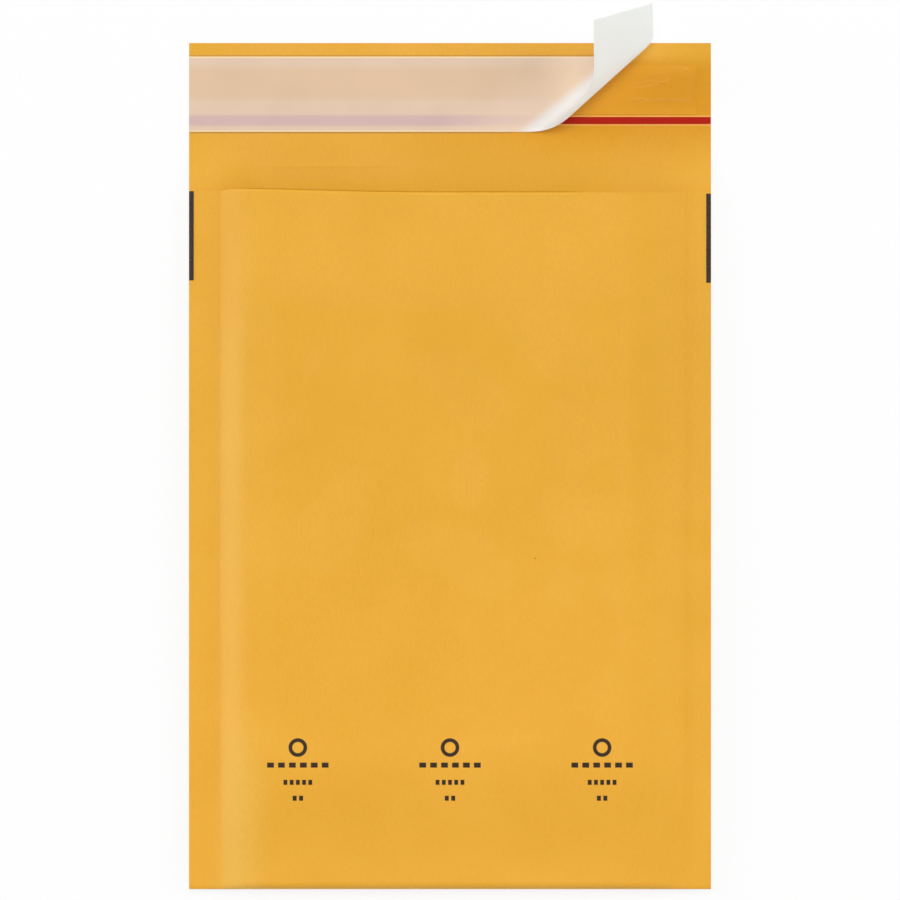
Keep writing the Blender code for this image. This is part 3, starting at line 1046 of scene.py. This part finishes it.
@dataclass
class BubbleLining:
    """The pouch of bubble film: a flat film towards the pocket and round bubbles towards the paper."""

    form: PaddedForm
    finish: BubbleFilm
    bubble_pitch: float = 10.6
    bubble_radius: float = 4.5
    film_share: float = 0.045
    cut_share: float = 0.14
    bulge: float = 0.16
    across_spacing: float = 1.1
    mouth_spacing: float = 1.0
    deep_spacing: float = 2.2
    fine_depth: float = 42.0
    fold_turns: int = 9

    def bubble(self, x: float, path: float, total: float) -> float:
        """Return how high a bubble stands at a place on the film.

        Args:
            x: The place across the film.
            path: The way along the film from the cut edge on the back.
            total: The film's whole length.

        Returns:
            The share of the full height, from 0 between bubbles to 1 on top of one.
        """
        row_pitch = self.bubble_pitch * math.sqrt(3) / 2
        best = None
        for row in (math.floor(path / row_pitch), math.floor(path / row_pitch) + 1):
            shift = (row % 2) * self.bubble_pitch / 2
            centre_x = round((x - shift) / self.bubble_pitch) * self.bubble_pitch + shift
            centre_path = row * row_pitch
            distance = math.hypot(x - centre_x, path - centre_path)
            if best is None or distance < best[0]:
                best = (distance, centre_path)
        distance, centre_path = best
        height = math.sqrt(max(0.0, 1 - (distance / self.bubble_radius) ** 4))
        is_cut = min(centre_path, total - centre_path) < self.bubble_radius
        return height * (self.cut_share if is_cut else 1.0)

    def panel_places(self, end: float) -> list[float]:
        """Return the y of the rows on one panel, closer together near the mouth."""
        top = self.form.mouth_y - self.form.lining_setback
        knee = top - self.fine_depth
        fine = steps(top, knee, round(self.fine_depth / self.mouth_spacing))
        return fine + steps(knee, end, round((knee - end) / self.deep_spacing))[1:]

    def build(self) -> None:
        """Make the lining and dress it."""
        form = self.form
        half, margin = form.half_width, form.pocket_side_margin
        left = -half + form.seam_left + margin
        right = half - form.seam_right - margin
        inner_x = steps(left, right, round((right - left) / self.across_spacing))
        in_left = steps(-half, -half + form.seam_left, 2)
        in_right = steps(half - form.seam_right, half, 2)
        columns = in_left + inner_x + in_right
        first, last = len(in_left), len(columns) - 1 - len(in_right)

        turn = form.pocket_gap_at_fold / 2
        inner_end = -form.mouth_y + form.skin + form.lining_in_fold + turn
        inner = form.stations(self.panel_places(inner_end), inner_end, turn, self.fold_turns)
        outer_depth = form.fold_depth - form.skin
        outer = form.stations(self.panel_places(form.fold_y), form.fold_y, outer_depth, self.fold_turns)
        paths = [0.0]
        for (y, side), (next_y, next_side) in zip(outer, outer[1:]):
            paths.append(paths[-1] + math.hypot(next_y - y, (next_side - side) * outer_depth))

        mesh = bmesh.new()
        outside, inside = [], {}
        for index, x in enumerate(columns):
            shell = [form.point(x, y, side, form.skin) for y, side in outer]
            if first <= index <= last:
                wall = [form.pocket_point(x, y, side) for y, side in inner]
                heights = [self.bubble(x, path, paths[-1]) for path in paths]
                shares = [self.film_share + (1 - self.film_share) * height for height in heights]
                shell = [low.lerp(high, share) for low, high, share in zip(wall, shell, shares)]
                bulged = [low.lerp(high, -self.bulge * height)
                          for low, high, height in zip(wall, shell, heights)]
                inside[index] = [mesh.verts.new(point) for point in bulged]
            outside.append([mesh.verts.new(point) for point in shell])
        self.join(mesh, outside, inside, first, last)
        bmesh.ops.recalc_face_normals(mesh, faces=mesh.faces)
        lining = add_piece("bubble_film_lining", mesh, self.finish.material())
        settle(lining, "bubble_film", "bubble_lining")

    def join(self, mesh: bmesh.types.BMesh, outside: list, inside: dict, first: int, last: int) -> None:
        """Join the columns of points into one closed skin.

        Args:
            mesh: The mesh that holds the points.
            outside: The columns on the side of the paper.
            inside: The columns on the side of the pocket, by their number.
            first: The number of the pocket's first column.
            last: The number of the pocket's last column.
        """
        for index in range(len(outside) - 1):
            here, after = outside[index], outside[index + 1]
            for low in range(len(here) - 1):
                mesh.faces.new((here[low], after[low], after[low + 1], here[low + 1]))
            if first <= index < last:
                wall, next_wall = inside[index], inside[index + 1]
                for low in range(len(wall) - 1):
                    mesh.faces.new((wall[low], wall[low + 1], next_wall[low + 1], next_wall[low]))
                mesh.faces.new((here[0], wall[0], next_wall[0], after[0]))
                mesh.faces.new((here[-1], after[-1], next_wall[-1], wall[-1]))
            elif index + 1 == first:
                wall = inside[first]
                mesh.faces.new((here[0], here[-1], after[-1], wall[-1], wall[0], after[0]))
            elif index == last:
                wall = inside[last]
                mesh.faces.new((after[0], after[-1], here[-1], wall[-1], wall[0], here[0]))
            else:
                mesh.faces.new((here[0], here[-1], after[-1], after[0]))
        for ring in (outside[0], outside[-1], inside[first], inside[last]):
            for low in range(len(ring) // 2 - 1):
                mesh.faces.new((ring[low], ring[low + 1], ring[-2 - low], ring[-1 - low]))


@dataclass(frozen=True)
class Wrinkle:
    """A fine fold in the bare glue: from one place to another, bowed to one side."""

    start: tuple[float, float]
    end: tuple[float, float]
    bow: float
    height: float
    wander: float = 0.4
    wander_length: float = 1.6

    def rise(self, x: float, y: float, width: float) -> float:
        """Return how far the fold lifts the glue at a place.

        Args:
            x: The place across the flap.
            y: The place along it.
            width: Half the fold's width.

        Returns:
            The height in millimetres.
        """
        run_x, run_y = self.end[0] - self.start[0], self.end[1] - self.start[1]
        length = math.hypot(run_x, run_y)
        from_x, from_y = x - self.start[0], y - self.start[1]
        along = (from_x * run_x + from_y * run_y) / length ** 2
        if not -0.1 < along < 1.1:
            return 0.0
        off = (from_y * run_x - from_x * run_y) / length - self.bow * 4 * along * (1 - along)
        off += self.wander * noise.noise(Vector((x, y, 0.0)) / self.wander_length)
        fade = ease(min(along + 0.1, 1.1 - along) / 0.3)
        return self.height * fade * math.exp(-((off / width) ** 2))


@dataclass
class GlueBand:
    """The band of glue on the flap, finely wrinkled where the liner has left it bare."""

    strip: Strip
    finish: HotMeltGlue
    thickness: float = 0.12
    bare_length: float = 50.0
    fine_spacing: float = 0.2
    covered_spacing: float = 4.0
    wrinkle_width: float = 0.17
    wrinkles: tuple[Wrinkle, ...] = (
        Wrinkle((65.9, 139.8), (70.4, 138.9), 0.2, 0.06),
        Wrinkle((70.0, 139.3), (70.8, 138.5), 0.0, 0.15),
        Wrinkle((60.4, 137.6), (63.1, 137.9), 0.1, 0.06),
        Wrinkle((62.5, 134.9), (64.8, 136.2), -0.1, 0.14),
        Wrinkle((61.6, 135.6), (63.0, 134.9), 0.1, 0.08),
        Wrinkle((54.4, 133.7), (60.0, 134.3), -0.2, 0.07),
        Wrinkle((55.2, 134.6), (61.0, 135.9), 0.3, 0.05),
        Wrinkle((53.8, 130.3), (58.1, 130.2), 0.1, 0.06),
        Wrinkle((60.2, 130.1), (68.9, 129.9), 0.3, 0.07),
        Wrinkle((65.0, 129.4), (65.7, 128.3), 0.0, 0.07),
        Wrinkle((70.9, 137.9), (70.8, 129.6), 0.1, 0.04),
    )

    def build(self) -> None:
        """Make the band and dress it."""
        strip, top = self.strip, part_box("adhesive_strip")[1].z / MM
        bare_from = strip.high_x - self.bare_length
        columns = steps(strip.low_x, bare_from, round((bare_from - strip.low_x) / self.covered_spacing))
        columns += steps(bare_from, strip.high_x, round(self.bare_length / self.fine_spacing))[1:]
        rows = []
        for y in steps(strip.low_y, strip.high_y, round((strip.high_y - strip.low_y) / self.fine_spacing)):
            rises = [sum(fold.rise(x, y, self.wrinkle_width) for fold in self.wrinkles) for x in columns]
            rows.append([Vector((x, y, top + rise)) for x, rise in zip(columns, rises)])
        glue = add_piece("glue_band", surface(rows), self.finish.material(strip))
        thicken(glue, self.thickness)
        settle(glue, "hot_melt_glue", "adhesive_strip")


@dataclass
class ReleaseLiner:
    """The strip of release paper, stuck down at the left and peeled back in a roll at the right.

    The peeled stretch is the flat strip folded a little at each of a row of straight lines, so it keeps
    its lengths as a real strip does.
    """

    layout: FlapLayout
    finish: ReleasePaper
    thickness: float = 0.1
    top_level: float = 0.57
    roll_lower_edge: float = 38.1
    roll_upper_edge: float = 15.6
    roll_convergence: float = 0.85
    end_skew: float = 1.5
    bend: float = 147.0
    bend_contrast: float = 14.0
    bend_slackest: float = 0.59
    roll_steps: int = 90
    flat_steps: int = 24
    end_steps: int = 6
    across_steps: int = 14

    def bend_weights(self) -> list[float]:
        """Return the share of the bend at each step, with the least of it near the top of the roll."""
        middles = [(index + 0.5) / self.roll_steps for index in range(self.roll_steps)]
        weights = [1 + self.bend_contrast * (middle - self.bend_slackest) ** 2 for middle in middles]
        return [weight / sum(weights) for weight in weights]

    def ruling(self, lower_x: float, upper_x: float) -> tuple[Vector, Vector]:
        """Return the ends of a line across the flat liner, on its lower and on its upper edge."""
        strip, level = self.layout.liner, self.top_level
        return Vector((lower_x, strip.low_y, level)), Vector((upper_x, strip.high_y, level))

    def rulings(self) -> list[tuple[Vector, Vector]]:
        """Return the straight lines across the liner, from its flat left end to its free end."""
        strip = self.layout.liner
        peel_x, upper_peel_x = self.layout.peel_x, self.layout.peel_x + self.layout.peel_lead
        start = self.ruling(strip.low_x, strip.low_x)
        fold_line = self.ruling(peel_x, upper_peel_x)
        lines = [(start[0].lerp(fold_line[0], share), start[1].lerp(fold_line[1], share))
                 for share in steps(0.0, 1.0, self.flat_steps)[:-1]]
        place = Matrix.Identity(4)
        for index, share in enumerate([0.0] + self.bend_weights()):
            t = index / self.roll_steps
            upper_t = t + self.roll_convergence * t * (1 - t)
            lower, upper = self.ruling(peel_x + self.roll_lower_edge * t,
                                       upper_peel_x + self.roll_upper_edge * upper_t)
            move = Matrix.Translation(fold_line[0])
            turn = Matrix.Rotation(-share * math.radians(self.bend), 4, fold_line[1] - fold_line[0])
            place = place @ move @ turn @ move.inverted()
            lines.append((place @ lower, place @ upper))
            fold_line = (lower, upper)
        end = self.ruling(strip.high_x - self.end_skew, strip.high_x)
        for share in steps(0.0, 1.0, self.end_steps)[1:]:
            lines.append((place @ fold_line[0].lerp(end[0], share), place @ fold_line[1].lerp(end[1], share)))
        return lines

    def build(self) -> None:
        """Make the liner and dress it."""
        shares = steps(0.0, 1.0, self.across_steps)
        rows = [[upper.lerp(lower, share) for share in shares] for lower, upper in self.rulings()]
        liner = add_piece("peeled_release_liner", surface(rows), self.finish.material(self.layout))
        thicken(liner, self.thickness)
        settle(liner, "release_paper", "release_liner")


def dress_node(node: str, material: bpy.types.Material, slot: str) -> None:
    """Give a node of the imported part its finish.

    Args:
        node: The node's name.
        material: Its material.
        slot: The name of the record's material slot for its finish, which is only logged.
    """
    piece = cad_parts[node]
    piece.data.materials.clear()
    piece.data.materials.append(material)
    LOG.info("%s: the packed node, %s", node, slot)


@dataclass(frozen=True)
class SoftBox:
    """A square soft lamp that looks at the envelope.

    level is how bright it makes a white surface that faces it, and the angles are in degrees. A lamp that
    isn't in_gloss only fills: it throws no sheen on the envelope.
    """

    name: str
    azimuth: float
    elevation: float
    level: float
    distance: float = 4.0
    side: float = 2.0
    in_gloss: bool = True

    def build(self, target: Vector) -> None:
        """Make the lamp.

        Args:
            target: What it looks at, in metres.
        """
        lamp = bpy.data.lights.new(self.name, "AREA")
        lamp.size = self.side
        lamp.energy = self.level * (math.pi * self.distance) ** 2
        across, up = math.radians(self.azimuth), math.radians(self.elevation)
        away = Vector((math.cos(up) * math.cos(across), math.cos(up) * math.sin(across), math.sin(up)))
        item = bpy.data.objects.new(self.name, lamp)
        item.location = target + away * self.distance
        item.rotation_euler = away.to_track_quat("Z", "Y").to_euler()
        item.visible_glossy = self.in_gloss
        bpy.context.scene.collection.objects.link(item)


@dataclass
class Studio:
    """A plain pale table, soft lamps and a camera straight above, far enough away to see no perspective."""

    view_width: float = 266.4
    view_centre_y: float = 26.6
    view_level: float = 3.0
    camera_distance: float = 10.0
    sensor: float = 36.0
    table_side: float = 6.0
    table_gap: float = 0.05
    table_colour: str = "FCFCFC"
    white: str = "FFFFFF"
    table_glow: float = 0.86
    sky_level: float = 0.39
    ceiling_level: float = 0.12
    cove_height: float = 0.35
    ceiling_height: float = 0.7
    lamps: tuple[SoftBox, ...] = (
        SoftBox("left_lamp", 163.0, 22.0, 0.32),
        SoftBox("right_lamp", 16.0, 33.0, 0.27, in_gloss=False),
        SoftBox("top_lamp", 90.0, 74.0, 0.38, in_gloss=False),
    )

    def backdrop(self, shade: Shading, lit: bpy.types.Node, shown: bpy.types.Node,
                 share: float) -> bpy.types.Node:
        """Show one shader to the camera and to reflections, and another to all else.

        Args:
            shade: The material's or the world's nodes.
            lit: The shader for all other light.
            shown: The shader that is seen.
            share: How much of what is seen comes from it.

        Returns:
            The mixed shader's node.
        """
        path = shade.add("LightPath").outputs
        seen = path["Is Camera Ray"]
        for ray in ("Is Glossy Ray", "Is Transmission Ray"):
            seen = shade.add("Math", {0: seen, 1: path[ray]}, operation="MAXIMUM")
        return shade.add("MixShader", {0: shade.product(seen, share), 1: lit, 2: shown})

    def build_table(self) -> None:
        """Make the table."""
        shade = Shading(bpy.data.materials.new("matte_white_table"))
        matte = shade.add("BsdfDiffuse", {"Color": self.table_colour})
        white = shade.add("Emission", {"Color": self.white, "Strength": 1.0})
        material = shade.close(self.backdrop(shade, matte, white, self.table_glow))
        mesh = bmesh.new()
        bmesh.ops.create_grid(mesh, x_segments=2, y_segments=2, size=self.table_side / MM / 2)
        bmesh.ops.translate(mesh, vec=(0, 0, -self.table_gap), verts=mesh.verts)
        add_piece("table", mesh, material)

    def build_sky(self) -> None:
        """Make the world: even soft light, seen as a white cove all round under a dim ceiling."""
        shade = Shading(bpy.data.worlds.new("studio_sky"), "OutputWorld")
        even = shade.add("Background", {"Color": self.white, "Strength": self.sky_level})
        height = shade.add("SeparateXYZ", {0: shade.add("TexCoord")}).outputs["Z"]
        level = shade.add("MapRange", {"Value": height, "From Min": self.cove_height,
                                       "From Max": self.ceiling_height, "To Min": 1.0,
                                       "To Max": self.ceiling_level}, **SOFTLY)
        cove = shade.add("Background", {"Color": self.white, "Strength": level})
        bpy.context.scene.world = shade.close(self.backdrop(shade, even, cove, 1.0))

    def build_camera(self) -> None:
        """Make the camera, whose picture is as wide as view_width on the envelope."""
        data = bpy.data.cameras.new("overhead_camera")
        data.sensor_width = self.sensor
        data.lens = self.sensor * self.camera_distance / (self.view_width * MM)
        data.clip_end = 2 * self.camera_distance
        camera = bpy.data.objects.new("overhead_camera", data)
        height = self.camera_distance + self.view_level * MM
        camera.location = (0.0, self.view_centre_y * MM, height)
        bpy.context.scene.collection.objects.link(camera)
        bpy.context.scene.camera = camera

    def build(self) -> None:
        """Make the studio."""
        self.build_table()
        self.build_sky()
        for lamp in self.lamps:
            lamp.build(Vector((0.0, self.view_centre_y * MM, 0.0)))
        self.build_camera()
        bpy.context.scene.view_settings.view_transform = "Standard"
        LOG.info("studio: %d lamps", len(self.lamps))


def main() -> None:
    """Build the envelope's pieces and the studio round them."""
    logging.basicConfig(level=logging.INFO, format="%(name)s %(message)s")
    form = PaddedForm.from_frame()
    layout = FlapLayout.from_frame(form)
    OuterWrap(form, layout, WrappingPaper()).build()
    BubbleLining(form, BubbleFilm()).build()
    GlueBand(layout.glue, HotMeltGlue()).build()
    ReleaseLiner(layout, ReleasePaper()).build()
    dress_node("tear_tape", TearTape().material(), "red_tape")
    ink = PrintingInk().material()
    for edge in Edge:
        dress_node(f"eye_mark_{edge.value}", ink, "dark_ink")
    Studio().build()


if __name__ == "__main__":
    main()
